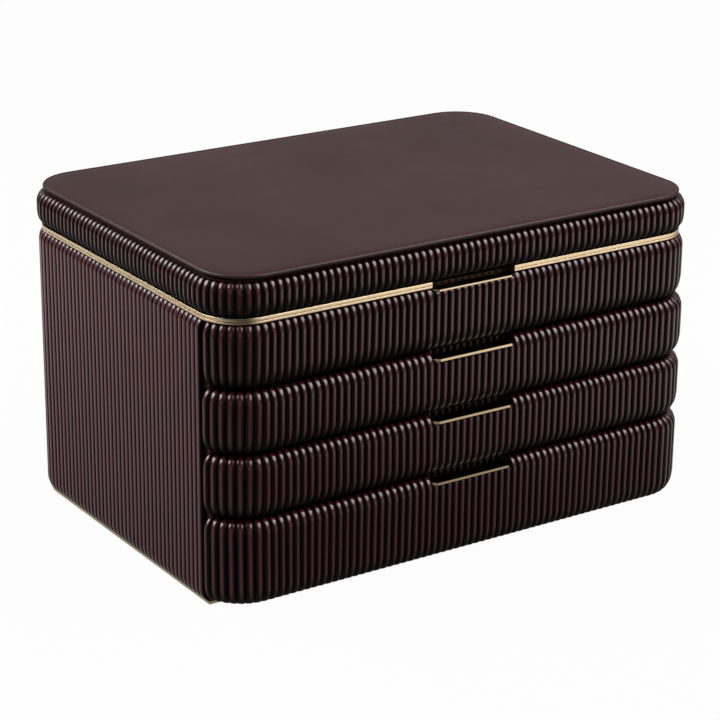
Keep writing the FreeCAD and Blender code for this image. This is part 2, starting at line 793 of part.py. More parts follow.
# Suede lines the lid's walls and ceiling, and a framed mirror is fixed to the ceiling.
lining_low = lid_frame_z + cell("cover_gap")
lining_outline = rounded(lid_inner + cell("cover_fit"))
lid_lining = plate("lid_lining", lining_low, lid_board_z - lining_low, **lining_outline)
ceiling_low = lid_board_z - cell("lining_thick")
hollow = new_sketch(lid_lining, lining_low)
draw_outline(hollow, **rounded(lid_inner + cell("cover_fit") + cell("lining_thick")))
cut_up(lid_lining, hollow, ceiling_low - lining_low)


def centred(width, depth, radius):
    """An outline about the middle of the lid."""
    return dict(left=-width / 2, right=width / 2, front=-depth / 2, back=depth / 2,
                front_radius=radius, back_radius=radius)


glass_width = (half_width - lid_inner - cell("mirror_inset_x")) * 2
glass_depth = (half_depth - lid_inner - cell("mirror_inset_y")) * 2
mirror_low = ceiling_low - cell("mirror_thick")
plate("mirror", mirror_low, cell("mirror_thick"),
      **centred(glass_width, glass_depth, cell("mirror_corner")))

border = cell("mirror_frame_width")
frame_low = mirror_low - cell("mirror_cover")
lip = cell("mirror_lip")
mirror_frame = plate("mirror_frame", frame_low, ceiling_low - frame_low,
                     **centred(glass_width + border * 2, glass_depth + border * 2,
                               cell("mirror_corner") + border))
window = new_sketch(mirror_frame, frame_low)
draw_outline(window, **centred(glass_width - lip * 2, glass_depth - lip * 2, cell("mirror_corner") - lip))
cut_up(mirror_frame, window, cell("mirror_cover"))
fit2 = cell("cover_fit") * 2
rebate = new_sketch(mirror_frame, mirror_low)
draw_outline(rebate, **centred(glass_width + fit2, glass_depth + fit2,
                               cell("mirror_corner") + cell("cover_fit")))
cut_up(mirror_frame, rebate, cell("mirror_thick"))

# ---------------------------------------------------------------- hinges

half_leaf = cell("hinge_length") / 2
half_mid = cell("hinge_mid_length") / 2
knuckle = cell("knuckle_radius")
bore = cell("hinge_pin_radius") + cell("pin_clearance")


def hinge_leaf(name, x, z, head_z, runs):
    """A flat leaf with its knuckles: runs are the stretches of the barrel that belong to it."""
    plate_box = block(f"{name}_plate", (x - half_leaf, x + half_leaf), (leaf_front, half_depth), z)
    pieces = [plate_box]
    for i, run in enumerate(runs):
        pieces.append(block(f"{name}_tab_{i}", run, (half_depth, hinge_y), z))
        pieces.append(rod(f"{name}_knuckle_{i}", knuckle, run, hinge_y, hinge_z))
    holes = [rod(f"{name}_bore", bore, (x - half_leaf - beyond, x + half_leaf + beyond), hinge_y, hinge_z)]
    pitch = cell("screw_pitch")
    for i, spot in enumerate((x - pitch, x, x + pitch)):
        holes.append(post(f"{name}_hole_{i}", screw_hole, spot, screw_y, (z[0] - beyond, z[1] + beyond)))
        holes.append(post(f"{name}_seat_{i}", cell("screw_head_radius") + cell("screw_fit"),
                          spot, screw_y, head_z))
    return keep(cut(name, fuse(f"{name}_solid", pieces), holes), name)


def hinge_screws(name, head_z, shank_z):
    screws = []
    for i, x in enumerate(screw_spots()):
        head = post(f"{name}_head_{i}", cell("screw_head_radius"), x, screw_y, head_z)
        shank = post(f"{name}_shank_{i}", cell("screw_radius"), x, screw_y, shank_z)
        screws.append(fuse(f"{name}_{i}", [head, shank]))
    return group(name, screws)


head = cell("screw_head_thick")
for side, x in hinge_places:
    outer_runs = [(x - half_leaf, x - half_mid - cell("knuckle_gap")),
                  (x + half_mid + cell("knuckle_gap"), x + half_leaf)]
    hinge_leaf(f"case_hinge_{side}", x, (seam_z, rim_top), (rim_top - head, rim_top + beyond), outer_runs)
    hinge_leaf(f"lid_hinge_{side}", x, (lid_z, lid_frame_z), (lid_z - beyond, lid_z + head),
               [(x - half_mid, x + half_mid)])
hinge_screws("case_hinge_screws", (rim_top - head, rim_top), (rim_top - cell("screw_length"), rim_top))
hinge_screws("lid_hinge_screws", (lid_z, lid_z + head), (lid_z, lid_z + cell("screw_length")))
group("hinge_pins", [
    rod(f"hinge_pin_{side}", cell("hinge_pin_radius"), (x - half_leaf, x + half_leaf), hinge_y, hinge_z)
    for side, x in hinge_places
])

# ---------------------------------------------------------------- check and write

doc.recompute()
for item in doc.Objects:
    if "Invalid" in item.State or "Error" in item.State:
        raise RuntimeError(f"{item.Label} failed: {item.State}")
os.makedirs("parts", exist_ok=True)
for piece in nodes:
    shape = piece.Shape
    if shape.isNull() or not shape.isValid() or not shape.Solids:
        raise RuntimeError(f"{piece.Label} has no valid solid")
    shape.exportStep(f"parts/{piece.Label}.step")
print(f"{len(nodes)} nodes, seam at {float(seam_z):.1f} mm, lid top at {lid_top:.1f} mm")
print(f"drawer travel {float(drawer_end - fronts_back - cell('stop_set_back') - cell('stop_depth')):.1f} mm")
print(f"hinge axis y {float(hinge_y):.2f} z {float(hinge_z):.2f} mm")
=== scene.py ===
# %% [markdown]
# # A jewellery box covered in pleated leather
# The wooden case, its lid and its three drawers come from the CAD frame, at their real size and place.
# This lesson dresses them: pleated leather on the walls, a smooth leather top, thin brass trims, and suede
# inside. Everything is in metres, in the frame's own axes: X is the width, the front faces -Y, Z is up.

# %% Load the frame
import json
from math import ceil, cos, pi, radians, sin, sqrt

import bmesh
import bpy
from mathutils import Matrix, Vector, noise


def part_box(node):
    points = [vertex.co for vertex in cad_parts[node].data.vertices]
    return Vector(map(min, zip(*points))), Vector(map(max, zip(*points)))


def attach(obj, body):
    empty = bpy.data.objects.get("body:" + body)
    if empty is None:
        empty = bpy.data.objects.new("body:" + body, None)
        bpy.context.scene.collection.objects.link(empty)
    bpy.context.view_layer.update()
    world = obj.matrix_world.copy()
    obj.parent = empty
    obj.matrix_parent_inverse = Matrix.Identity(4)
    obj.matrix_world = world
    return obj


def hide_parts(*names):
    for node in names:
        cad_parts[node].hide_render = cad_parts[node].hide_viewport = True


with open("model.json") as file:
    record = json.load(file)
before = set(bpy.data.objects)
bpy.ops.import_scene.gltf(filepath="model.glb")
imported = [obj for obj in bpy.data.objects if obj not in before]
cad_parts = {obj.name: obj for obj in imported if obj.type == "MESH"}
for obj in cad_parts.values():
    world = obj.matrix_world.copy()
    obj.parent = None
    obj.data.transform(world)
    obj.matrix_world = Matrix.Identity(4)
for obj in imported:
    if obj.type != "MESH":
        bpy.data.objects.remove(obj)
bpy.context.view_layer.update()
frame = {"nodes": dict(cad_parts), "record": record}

scene = bpy.context.scene
MM = 0.001

# %% [markdown]
# ## Levels and outlines
# The brass seam between the body and the lid is the outline that everything else is offset from, so it is
# read first. A node's box gives its two opposite corners, which is enough for all levels here. Only the
# corner radius has to be repeated, because a box can't tell it.

# %% Read the seam and the levels
seam_low, seam_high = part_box("body_rim")
HALF_WIDTH, HALF_DEPTH, SEAM_Z = seam_high[0], seam_high[1], seam_low[2]
SEAM_CORNER = 26 * MM
CENTRE_X, CENTRE_Y = HALF_WIDTH - SEAM_CORNER, HALF_DEPTH - SEAM_CORNER
DRAWERS = ("drawer_1", "drawer_2", "drawer_3")
print(f"seam {HALF_WIDTH * 2:.3f} x {HALF_DEPTH * 2:.3f} m at {SEAM_Z:.3f} m")

# %% [markdown]
# ## The camera
# A long lens from the front left, a little above the lid, keeps the verticals nearly parallel. The aim is
# given as three turns and a distance from the middle of the seam, which is easy to think about: turn is
# the walk round the box, tilt is the look down, and roll is the last half degree of a hand-held camera.

# %% Place the camera
TURN, TILT, ROLL = radians(-33.597), radians(20.198), radians(0.515)
DISTANCE = 1.4752
SLIDE = Vector((-0.0004, -0.0796))
LENS = 122.28

backward = Vector((sin(TURN) * cos(TILT), -cos(TURN) * cos(TILT), sin(TILT)))
rightward = Vector((cos(TURN), sin(TURN), 0))
upward = backward.cross(rightward)
right_axis = rightward * cos(ROLL) + upward * sin(ROLL)
up_axis = upward * cos(ROLL) - rightward * sin(ROLL)
camera = bpy.data.objects.new("camera", bpy.data.cameras.new("camera"))
scene.collection.objects.link(camera)
eye = right_axis * SLIDE.x + up_axis * SLIDE.y + backward * DISTANCE + Vector((0, 0, SEAM_Z))
camera.matrix_world = Matrix.Translation(eye) @ Matrix((right_axis, up_axis, backward)).transposed().to_4x4()
camera.data.lens = LENS
camera.data.sensor_width = 36
scene.camera = camera
print("camera at", [round(x, 3) for x in eye])

# %% [markdown]
# ## Shader maths
# A material is a tree of nodes. Writing the tree by hand is slow to read, so a small class wraps a socket
# and overloads + - * /, and an expression on sockets adds the Math nodes by itself. Colours go through
# Mix nodes, because a Math node would turn them grey. The sky is a tree as well, without a surface.

# %% A socket that can be added up
class Socket:
    """An output in a tree, so that shader maths reads like plain maths."""

    def __init__(self, tree, out):
        self.tree, self.out = tree, out

    def math(self, operation, *values):
        return self.tree.node("ShaderNodeMath", {"operation": operation}, dict(enumerate(values)))

    def __add__(self, other):
        return self.math("ADD", self, other)

    def __sub__(self, other):
        return self.math("SUBTRACT", self, other)

    def __rsub__(self, other):
        return self.math("SUBTRACT", other, self)

    def __mul__(self, other):
        return self.math("MULTIPLY", self, other)

    def __truediv__(self, other):
        return self.math("DIVIDE", self, other)

    def clamp(self):
        """Held between 0 and 1."""
        return self.tree.node("ShaderNodeClamp", {}, {0: self})

    __radd__, __rmul__ = __add__, __mul__


# %% A tree of nodes, and a finish that is one
class Tree:
    """The nodes of a material or of the sky."""

    def __init__(self, node_tree):
        self.nodes, self.links = node_tree.nodes, node_tree.links

    def node(self, kind, settings=None, values=None, out=0):
        """Any node: its settings come first, then the values or links of its sockets."""
        made = self.nodes.new(kind)
        for name, value in (settings or {}).items():
            setattr(made, name, value)
        for key, value in (values or {}).items():
            self.join(value, made.inputs[key])
        return Socket(self, made.outputs[out])

    def join(self, value, target):
        if isinstance(value, Socket):
            self.links.new(value.out, target)
        else:
            target.default_value = value

    def mix(self, amount, first, second):
        """A colour between two colours."""
        first, second = [(*c, 1) if isinstance(c, tuple) else c for c in (first, second)]
        return self.node("ShaderNodeMix", {"data_type": "RGBA"}, {0: amount, 6: first, 7: second}, out=2)

    def parts(self, vector):
        """The three numbers of a vector."""
        split = self.node("ShaderNodeSeparateXYZ", {}, {0: vector}).out.node
        return [Socket(self, out) for out in split.outputs]

    def stretch_range(self, value, old, new):
        """A value between the old ends becomes one between the new ends, and stays there beyond them."""
        return self.node("ShaderNodeMapRange", {}, {0: value, 1: old[0], 2: old[1], 3: new[0], 4: new[1]})

    def place(self):
        """The point on the piece, in metres."""
        return self.node("ShaderNodeTexCoord", out="Object")

    def stretch(self, vector, x, y, z):
        return self.node("ShaderNodeVectorMath", {"operation": "MULTIPLY"}, {0: vector, 1: (x, y, z)})

    def noise(self, place, size, detail=3.0):
        """Soft blotches about size metres across."""
        return self.node("ShaderNodeTexNoise", {}, {"Vector": place, "Scale": 1 / size, "Detail": detail})

    def cells(self, place, size):
        """Rounded cells about size metres across, like the grain of a hide."""
        spots = {"Vector": place, "Scale": 1 / size}
        return self.node("ShaderNodeTexVoronoi", {"feature": "SMOOTH_F1"}, spots)

    def bump(self, height, depth, strength=1.0):
        """A normal from a height of 0 to 1 that stands for depth metres."""
        return self.node("ShaderNodeBump", {}, {"Height": height, "Distance": depth, "Strength": strength})


class Finish(Tree):
    """A material slot's look: a Principled shader and the nodes that feed it."""

    def __init__(self, name, **constants):
        self.material = bpy.data.materials.new(name)
        self.material.use_nodes = True
        super().__init__(self.material.node_tree)
        self.shader = self.nodes["Principled BSDF"]
        self.feed(**constants)

    def feed(self, **values):
        """Base_Color=..., Roughness=... and so on, straight onto the shader's sockets."""
        for name, value in values.items():
            if isinstance(value, tuple):
                value = (*value, 1)
            self.join(value, self.shader.inputs[name.replace("_", " ")])


# %% [markdown]
# ## Pleated leather
# Dark oxblood calf, glazed to a gloss. Its colour holds painted light: a painted highlight along each crest,
# and painted shade, near black, in the valleys. The pleats themselves are real geometry; the finish only
# needs to know where on a pleat it is. The walls' UV map gives that. U counts pleats, so its fraction runs
# from valley to valley. V says how much painted shade the leather takes: 0 at a pleat's upper tip,
# OPEN_WALL a little below it, and 1 on undersides and wherever the leather is tucked in. The more shade,
# the narrower the painted highlight on the crest.

# %% Glossy pleated leather
# The first colour is painted shade, for valleys, undersides and tucks; the second is a crest with painted
# light.
LEATHER_PAINTED_SHADE = (0.0036, 0.0009, 0.0012)
LEATHER_PAINTED_LIT_CREST = (0.068, 0.0075, 0.0115)
OPEN_WALL = 0.4
PAINTED_LIGHT_FADE = 0.22


def make_pleated_leather():
    leather = Finish("pleated_leather", IOR=1.5, Specular_IOR_Level=0.1, Coat_IOR=1.6, Coat_Roughness=0.18)
    across, painted_shade, _ = leather.parts(leather.node("ShaderNodeUVMap", {"uv_map": "pleats"}))
    share = across.math("FRACT", across)
    crest = share.math("SINE", share * pi)
    below_tip = leather.stretch_range(painted_shade, (0.0, OPEN_WALL), (0.42, 0.77))
    tucked_in = leather.stretch_range(painted_shade, (OPEN_WALL, 1.0), (0, 0.3))
    # Painted light: a highlight on each crest, broadest at the upper tips, and shade in valleys, undersides,
    # tucks.
    painted_light = ((crest - (below_tip + tucked_in)) / PAINTED_LIGHT_FADE).clamp()
    place = leather.place()
    cloud = leather.noise(place, 0.03)
    leather.feed(Base_Color=leather.mix(painted_light * (0.75 + cloud * 0.5), LEATHER_PAINTED_SHADE, LEATHER_PAINTED_LIT_CREST))
    leather.feed(Coat_Weight=0.06 + painted_light * 0.94, Roughness=0.42 - painted_light * 0.14 + cloud * 0.06)
    leather.feed(Normal=leather.bump(leather.cells(place, 0.7 * MM), 0.03 * MM, 0.4))
    return leather.material


# %% [markdown]
# ## Smooth leather
# The flat panel on the lid and the frame round the mirror. A satin surface, with pores too small to see from
# a step away, and a slow change of tone where the hide took the dye unevenly.

# %% Smooth leather
PANEL_TONES = ((0.021, 0.0062, 0.007), (0.045, 0.0205, 0.0195))


def make_smooth_leather():
    leather = Finish("smooth_leather", IOR=1.5, Specular_IOR_Level=0.26)
    place = leather.place()
    leather.feed(Base_Color=leather.mix(leather.noise(place, 0.09), *PANEL_TONES))
    leather.feed(Roughness=0.32 + leather.noise(place, 0.02) * 0.1)
    leather.feed(Normal=leather.bump(leather.cells(place, 0.6 * MM), 0.02 * MM, 0.4))
    return leather.material


# %% [markdown]
# ## Brass, wood, suede, glass and felt
# Each finish answers one question: what changes across it? Brass has faint polishing lines, stained wood
# its grain, suede a nap that has been stroked in patches, felt its matted fibres.

# %% Brass
def make_brass(name, tone, roughness):
    brass = Finish(name, Metallic=1.0)
    place = brass.place()
    lines = brass.noise(brass.stretch(place, 0.02, 0.02, 1), 0.15 * MM)
    deeper = tuple(c * 0.82 for c in tone)
    brass.feed(Base_Color=brass.mix(brass.noise(place, 0.02), deeper, tone))
    brass.feed(Roughness=roughness + lines * 0.06)
    return brass.material


# %% Stained wood
def make_wood(name, dark, light):
    wood = Finish(name, IOR=1.5, Specular_IOR_Level=0.4)
    place = wood.place()
    grain = wood.noise(wood.stretch(place, 0.08, 1, 1), 2.2 * MM, detail=5.0)
    cloud = wood.noise(place, 0.05)
    wood.feed(Base_Color=wood.mix(grain * 0.8 + cloud * 0.2, dark, light))
    wood.feed(Roughness=0.42 + grain * 0.12, Normal=wood.bump(grain, 0.05 * MM, 0.5))
    return wood.material


# %% Suede, mirror glass and felt
SUEDE_TONE = ((0.30, 0.225, 0.18), (0.46, 0.37, 0.30))


def make_suede():
    suede = Finish("suede", Specular_IOR_Level=0.2, Sheen_Weight=0.35, Sheen_Roughness=0.5)
    place = suede.place()
    nap = suede.noise(place, 0.4 * MM, detail=2.0)
    stroke = suede.noise(suede.stretch(place, 1, 0.6, 1), 0.018)
    suede.feed(Base_Color=suede.mix(nap * 0.35 + stroke * 0.65, *SUEDE_TONE))
    suede.feed(Roughness=0.86 + nap * 0.1, Normal=suede.bump(nap, 0.12 * MM, 0.7))
    return suede.material


def make_mirror_glass():
    glass = Finish("mirror_glass", Metallic=1.0, Base_Color=(0.90, 0.92, 0.92))
    glass.feed(Roughness=0.02 + glass.noise(glass.place(), 0.03) * 0.02)
    return glass.material


def make_felt():
    felt = Finish("felt", Specular_IOR_Level=0.1, Sheen_Weight=0.3)
    place = felt.place()
    fibres = felt.noise(place, 0.5 * MM, detail=4.0)
    felt.feed(Base_Color=felt.mix(fibres, (0.035, 0.026, 0.024), (0.09, 0.07, 0.062)))
    felt.feed(Roughness=0.95 - fibres * 0.05, Normal=felt.bump(fibres, 0.2 * MM, 0.8))
    return felt.material


# %% Give every material slot its finish
FINISHES = {
    "pleated_leather": make_pleated_leather(),
    "smooth_leather": make_smooth_leather(),
    "brass": make_brass("brass", (0.88, 0.72, 0.46), 0.11),
    "hinge_brass": make_brass("hinge_brass", (0.78, 0.62, 0.37), 0.3),
    "wood_core": make_wood("wood_core", (0.035, 0.016, 0.012), (0.09, 0.045, 0.032)),
    "drawer_wood": make_wood("drawer_wood", (0.05, 0.024, 0.018), (0.13, 0.068, 0.048)),
    "suede": make_suede(),
    "mirror_glass": make_mirror_glass(),
    "felt": make_felt(),
}
print("finishes:", ", ".join(FINISHES))

# %% Dress the CAD nodes
def dress(piece, slot):
    """A new piece takes the slot's finish."""
    piece.data.materials.clear()
    piece.data.materials.append(FINISHES[slot])


for sub_part in frame["record"]["subparts"]:
    node = frame["nodes"][sub_part["node"]]
    for place_in_mesh in node.material_slots:
        place_in_mesh.material = FINISHES[sub_part["material_slot"]]

# %% [markdown]
# ## The outline as a path
# Every leather wall follows the seam's outline at some distance from it. A path made of straight runs and
# arcs can be walked by length, and at each step gives the point and the direction that faces outwards.

# %% A path to walk along
NEAR_END = 0.4 * MM


class Path:
    """Straight runs and arcs, walked by length. The outside is on the right of the walk."""

    def __init__(self):
        self.runs, self.length, self.bends = [], 0.0, []

    def add(self, size, walk):
        """A run size metres long. walk(s) gives the point s metres along it, and the direction outwards."""
        self.runs.append((self.length, size, walk))
        self.length += size

    def line(self, start, end):
        start, along = Vector(start), Vector(end) - Vector(start)
        size = along.length
        out = Vector((along.y, -along.x)) / size
        self.add(size, lambda s: (start + along * (s / size), out))

    def arc(self, centre, start, end, radius=SEAM_CORNER):
        centre, size = Vector(centre), abs(end - start) * radius

        def walk(s):
            angle = start + (end - start) * s / size
            out = Vector((cos(angle), sin(angle)))
            return centre + out * radius, out

        self.bends.append((self.length, size))
        self.add(size, walk)

    def sections(self, step=1.5 * MM):
        """The places where a swept shape needs a section: each run's ends, and closely round each bend."""
        ends = (0.0, NEAR_END, self.length - NEAR_END, self.length)
        spots = {round(s, 7) for s in [run[0] for run in self.runs] + list(ends)}
        for begin, size in self.bends:
            count = max(2, ceil(size / step))
            spots |= {round(begin + size * i / count, 7) for i in range(count + 1)}
        return sorted(spots)

    def at(self, s):
        begin, size, walk = [run for run in self.runs if run[0] <= s + 1e-9][-1]
        return walk(min(max(s - begin, 0.0), size))


def front_path(end_angle):
    """Round the front from the left side to the right: end_angle is how far inside each corner it ends."""
    path = Path()
    path.arc((-CENTRE_X, -CENTRE_Y), pi + end_angle, pi * 1.5)
    path.line((-CENTRE_X, -HALF_DEPTH), (CENTRE_X, -HALF_DEPTH))
    path.arc((CENTRE_X, -CENTRE_Y), pi * 1.5, pi * 2 - end_angle)
    return path


def back_path(front_end):
    """From the right side's front end, round the back, to the left side's front end."""
    path = Path()
    path.line((HALF_WIDTH, front_end), (HALF_WIDTH, CENTRE_Y))
    path.arc((CENTRE_X, CENTRE_Y), 0, pi / 2)
    path.line((CENTRE_X, HALF_DEPTH), (-CENTRE_X, HALF_DEPTH))
    path.arc((-CENTRE_X, CENTRE_Y), pi / 2, pi)
    path.line((-HALF_WIDTH, CENTRE_Y), (-HALF_WIDTH, front_end))
    return path


def whole_path():
    """All the way round, from the middle of the back."""
    path = Path()
    path.line((0, HALF_DEPTH), (-CENTRE_X, HALF_DEPTH))
    path.arc((-CENTRE_X, CENTRE_Y), pi / 2, pi)
    path.line((-HALF_WIDTH, CENTRE_Y), (-HALF_WIDTH, -CENTRE_Y))
    path.arc((-CENTRE_X, -CENTRE_Y), pi, pi * 1.5)
    path.line((-CENTRE_X, -HALF_DEPTH), (CENTRE_X, -HALF_DEPTH))
    path.arc((CENTRE_X, -CENTRE_Y), pi * 1.5, pi * 2)
    path.line((HALF_WIDTH, -CENTRE_Y), (HALF_WIDTH, CENTRE_Y))
    path.arc((CENTRE_X, CENTRE_Y), 0, pi / 2)
    path.line((CENTRE_X, HALF_DEPTH), (0, HALF_DEPTH))
    return path


print(f"the whole outline is {whole_path().length:.3f} m long")

# %% [markdown]
# ## How a pleated wall is shaped
# The real wall is one strip of leather, gathered into narrow pleats and stretched over padding. Seen from
# the end each pleat is half an ellipse, and seen from the side the wall swells in the middle and rolls in
# at its top and bottom edges. A bump map can't give the shadows between pleats or their scalloped ends, so
# every pleat is modelled: a column of points across the wall, and several columns for each pleat.

# %% The side view of a wall, from its bottom edge to its top edge
PLEAT = 4.7 * MM
PLEAT_DEPTH = 1.8 * MM
STEPS = 10
FADE = 10 * MM
UNDERSIDE = 9 * MM
FLAT_AT_EDGE = 0.3
END_SQUEEZE = 0.16


def quarter(edge_z, tuck, crest, reach, direction, steps=9):
    """A quarter of an ellipse from a tucked edge out to the crest. Each point is how far out it lies, how
    high, and which way it faces."""
    points = []
    for i in range(steps + 1):
        angle = pi / 2 * i / steps
        out = tuck + (crest - tuck) * sin(angle)
        z = edge_z + direction * reach * (1 - cos(angle))
        normal = Vector((reach * sin(angle), -direction * (crest - tuck) * cos(angle))).normalized()
        points.append((out, z, normal))
    return points[::direction]


def side_view(low_z, high_z, crest, low, high):
    """low and high are (tuck, reach): how far in the edge lies, and over what height it rolls out."""
    return quarter(low_z, low[0], crest, low[1], 1) + quarter(high_z, high[0], crest, high[1], -1)


print(f"a wall has {len(side_view(0, 1, 1, (0, 0.2), (0, 0.2)))} levels")

# %% Weave columns of points into one skin
def weave(name, columns, around=False):
    """columns are dicts of points, from bottom to top, with the painted shade at each, the pleat count u,
    the count end_u at the pleat's end, and whether the column lies in a valley, which stays a sharp crease."""
    bm = bmesh.new()
    pleats = bm.loops.layers.uv.new("pleats")
    grid = [[bm.verts.new(point) for point in column["points"]] for column in columns]
    pairs = list(zip(range(len(grid) - 1), range(1, len(grid))))
    if around:
        pairs.append((len(grid) - 1, 0))
    for a, b in pairs:
        u_a, u_b = columns[a]["u"], columns[b]["u"] if b else columns[a]["end_u"]
        for row in range(len(grid[a]) - 1):
            face = bm.faces.new((grid[a][row], grid[b][row], grid[b][row + 1], grid[a][row + 1]))
            face.smooth = True
            low, high = columns[a]["painted_shade"][row:row + 2]
            for loop, u, v in zip(face.loops, (u_a, u_b, u_b, u_a), (low, low, high, high)):
                loop[pleats].uv = (u, v)
    for column, verts in zip(columns, grid):
        if column["valley"]:
            for low, high in zip(verts, verts[1:]):
                bm.edges.get((low, high)).smooth = False
    bmesh.ops.remove_doubles(bm, verts=bm.verts, dist=0.002 * MM)
    return new_piece(name, bm)


def new_piece(name, bm):
    """The finished mesh as an object in the scene."""
    mesh = bpy.data.meshes.new(name)
    bm.to_mesh(mesh)
    bm.free()
    piece = bpy.data.objects.new(name, mesh)
    scene.collection.objects.link(piece)
    return piece


# %% Gather a wall into pleats
def stray(pleat, z):
    """How far a valley strays sideways: no two pleats are pulled quite alike."""
    fine = noise.noise(Vector((pleat * 1.7, z * 60, 3.1))) * 0.16 * MM
    lean = noise.noise(Vector((pleat * 0.09, z * 22, 7.7))) * 0.9 * MM
    return fine + lean


def sink_of(normal, ridge, depth):
    """How far a point lies below the crest. The pleats run out flat over a tier's top, not under it."""
    facing = abs(normal.x)
    if normal.y >= 0:
        facing = FLAT_AT_EDGE + (1 - FLAT_AT_EDGE) * facing
    return depth * (1 - ridge) * facing


def painted_shade_at(out, z, bottom, tip, fade, under):
    """Painted shade: 0 at the tip, OPEN_WALL from fade below it, and up to 1 on the underside and where it
    is tucked in.
    """
    hidden = max(1 - (z - bottom) / under, (0.5 * MM - out) / (1.5 * MM), 0)
    return min(OPEN_WALL, (tip - z) / fade) + (1 - OPEN_WALL) * min(hidden, 1)


def pleated_wall(name, path, rows, around=False, curl=None, notch=None,
                 depth=PLEAT_DEPTH, fade=FADE, under=UNDERSIDE):
    """A skin of pleats along path, with rows as its side view. curl is (length, tuck) where the wall's two
    open ends roll in, and notch is (half width, rows) of the finger notch in the middle of the front."""
    pleats = round(path.length / PLEAT)
    pitch = path.length / pleats
    bottom, tip = rows[0][1], rows[-1][1]
    z_mid = (bottom + tip) / 2
    spots = [(i, step) for i in range(pleats) for step in range(STEPS)] + ([] if around else [(pleats, 0)])
    columns = []
    for i, step in spots:
        share = (1 - cos(pi * step / STEPS)) / 2
        ridge = sin(pi * step / STEPS)
        walked = (i + share) * pitch
        spot, outward = path.at(walked)
        in_notch = notch is not None and abs(spot.x) < notch[0] and spot.y < 0
        end = min(walked, path.length - walked)
        rolled = sqrt(1 - (1 - end / curl[0]) ** 2) if curl and end < curl[0] else 1.0
        points, painted_shade = [], []
        for out, z, normal in notch[1] if in_notch else rows:
            sink = sink_of(normal, ridge, depth)
            across, up = out - normal.x * sink, z - normal.y * sink
            if curl and out > curl[1]:
                across = curl[1] + (across - curl[1]) * rolled
                up = z_mid + (up - z_mid) * (1 - END_SQUEEZE + END_SQUEEZE * rolled)
            flat = spot + outward * across
            if rolled == 1.0 and not in_notch:
                sideways = stray(i + (step > STEPS / 2), z) * (1 - ridge * 0.3)
                flat += Vector((-outward.y, outward.x)) * sideways
            points.append((flat.x, flat.y, up))
            # The painted shade at this level of the wall.
            painted_shade.append(painted_shade_at(out, z, bottom, tip, fade, under))
        column = {"points": points, "painted_shade": painted_shade, "u": i + share, "end_u": i + 1.0, "valley": step == 0}
        columns.append(column)
    piece = weave(name, columns, around)
    print(f"{name}: {pleats} pleats, {len(piece.data.polygons)} faces")
    return piece


# %% [markdown]
# ## The tiers at the front
# Four padded fronts: the fixed one that closes the tray, and the three drawers. Each wraps round both front
# corners and ends in a small roll just before the side wall, and each has a notch in the middle of its top
# edge, where a fingertip reaches a brass plate. The leather is carried over the wood's top and bottom
# edges, so an open drawer shows no bare wood in front.

# %% Cover the four fronts
TUCK = -2.4 * MM
END_ANGLE = radians(12.8)
END_ROLL = 2.0 * MM
TOP_REACH, LIP_REACH = 8 * MM, 3.0 * MM
SKIN = 0.1 * MM
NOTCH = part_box("drawer_1_pull")[1][0]
UP, DOWN, OUT = Vector((0.1, 1)).normalized(), Vector((0.1, -1)).normalized(), Vector((1, 0))


def over_the_top(rows, high_z, wall, back):
    """The leather goes on over the wood: to the notch's back wall, up it, and on to the back edge."""
    return rows + [(wall + 4 * SKIN, rows[-1][1], UP), (wall, high_z, OUT), (back, high_z, UP)]


def under_the_bottom(low_z, back):
    """The leather comes from the wood's back edge, flat along its underside."""
    return [(back, low_z + 2 * SKIN, DOWN), (TUCK - 1.5 * MM, low_z + 2 * SKIN, DOWN)]


for tier in ("tray",) + DRAWERS:
    low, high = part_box(f"{tier}_cover")
    plate_low, plate_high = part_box("tray_ledge" if tier == "tray" else f"{tier}_pull")
    crest = -low[1] - HALF_DEPTH - SKIN
    base = (TUCK, min(12 * MM, (high[2] - low[2]) * 0.32))
    wall, back = -(HALF_DEPTH + plate_high[1]) - SKIN / 2, -(HALF_DEPTH + high[1])
    bottom = under_the_bottom(low[2], back)
    full = bottom + side_view(low[2], high[2], crest, base, (TUCK, TOP_REACH))
    full = over_the_top(full, high[2] - 2 * SKIN, wall, back)
    lip_tuck = crest - (1.6 if tier == "tray" else 1.0) * MM
    cut = bottom + side_view(low[2], plate_low[2] - SKIN, crest, base, (lip_tuck, LIP_REACH))
    cut = over_the_top(cut, high[2] - 2 * SKIN, wall, back)
    cover = pleated_wall(f"{tier}_leather", front_path(END_ANGLE), full, curl=(END_ROLL, TUCK),
                         notch=(NOTCH + 2 * SKIN, cut))
    dress(cover, "pleated_leather")
    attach(cover, "case" if tier == "tray" else tier)
    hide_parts(f"{tier}_cover")

# %% [markdown]
# ## The side and back wall
# One strip of pleats runs from the left front edge, round the back, to the right front edge, and from the
# brass line at the base up to the brass seam, where the pleats end in short bright tips. These pleats are
# shallower, and NO_FADE is so long that the painted highlight on their crests stays as broad all the way
# down.

# %% Cover the sides and the back
wall_low, wall_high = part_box("body_cover")
SIDE_DEPTH = 1.3 * MM
NO_FADE = 2.0
side_crest = -wall_low[0] - HALF_WIDTH - SKIN
wall_rows = side_view(wall_low[2], wall_high[2], side_crest, (-0.6 * MM, 7 * MM), (-1.8 * MM, 6 * MM))
body_wall = pleated_wall("body_leather", back_path(wall_low[1] + 2 * MM), wall_rows,
                         depth=SIDE_DEPTH, fade=NO_FADE, under=MM)
dress(body_wall, "pleated_leather")
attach(body_wall, "case")
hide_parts("body_cover")

# %% [markdown]
# ## The padded band of the lid
# The same pleats, on a fuller and shorter roll, all the way round the lid.

